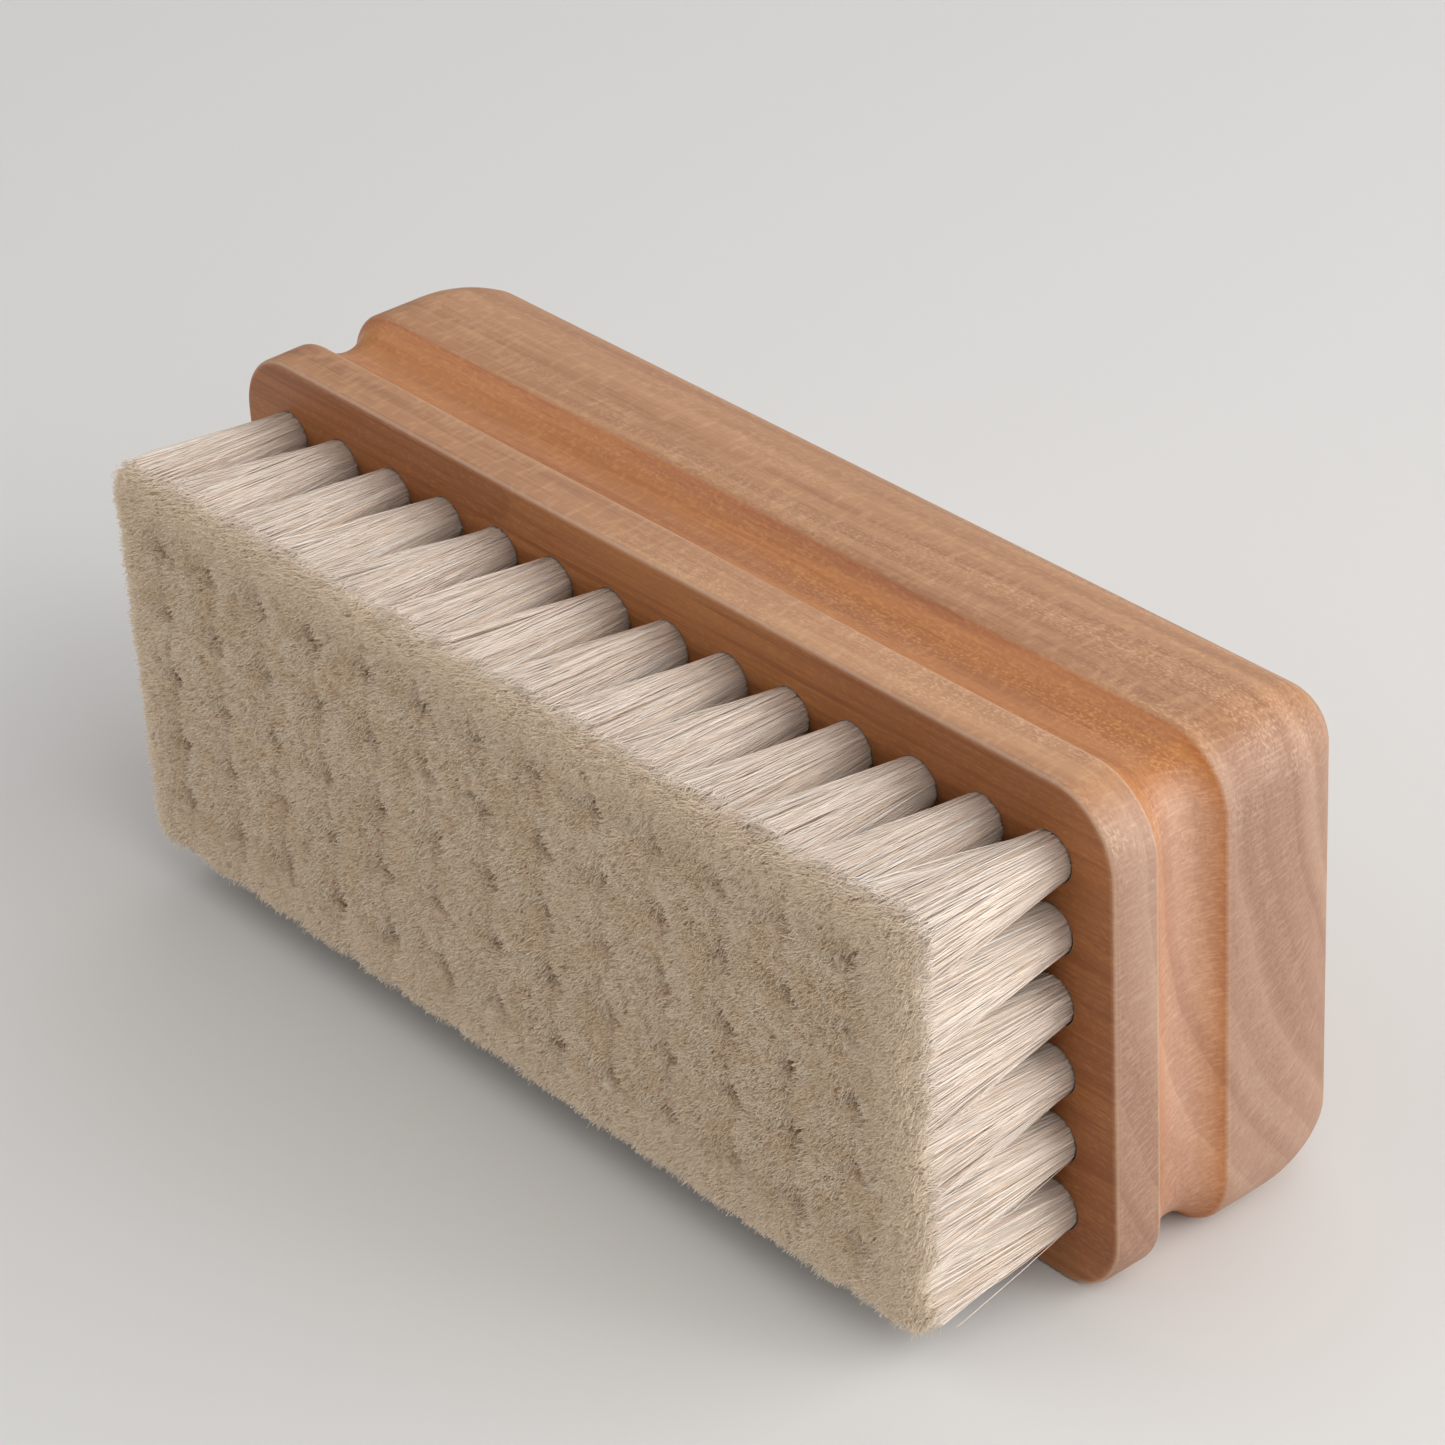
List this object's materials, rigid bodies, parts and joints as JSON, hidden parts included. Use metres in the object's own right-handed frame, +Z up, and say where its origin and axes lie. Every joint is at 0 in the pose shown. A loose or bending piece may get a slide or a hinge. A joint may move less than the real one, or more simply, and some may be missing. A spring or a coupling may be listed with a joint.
{
  "type": "clothes brush",
  "caption": "Clothes brush: a rounded wooden block with a finger groove all round, filled with a dense grid of soft pale goat-hair tufts. It lies on one long side.",
  "frame": {"origin": "On the surface that the brush lies on, under the centre of its outline.", "axes": "+X along the block, +Y from the bristles to the flat back, so the hair points to -Y, and +Z up from the surface, across the width of the block."},
  "size_m": [0.135, 0.0556, 0.057],
  "materials": {
    "wood": "smooth sanded and oiled",
    "hair": "soft natural hair",
    "anchor_wire": "bright flat wire"
  },
  "bodies": {
    "root": {"brush_block": "wood", "tuft_anchors": "anchor_wire", "tuft_row_01": "hair", "tuft_row_02": "hair", "tuft_row_03": "hair", "tuft_row_04": "hair", "tuft_row_05": "hair", "tuft_row_06": "hair", "tuft_row_07": "hair", "tuft_row_08": "hair", "tuft_row_09": "hair", "tuft_row_10": "hair", "tuft_row_11": "hair", "tuft_row_12": "hair", "tuft_row_13": "hair", "tuft_row_14": "hair"}
  },
  "joints": []
}
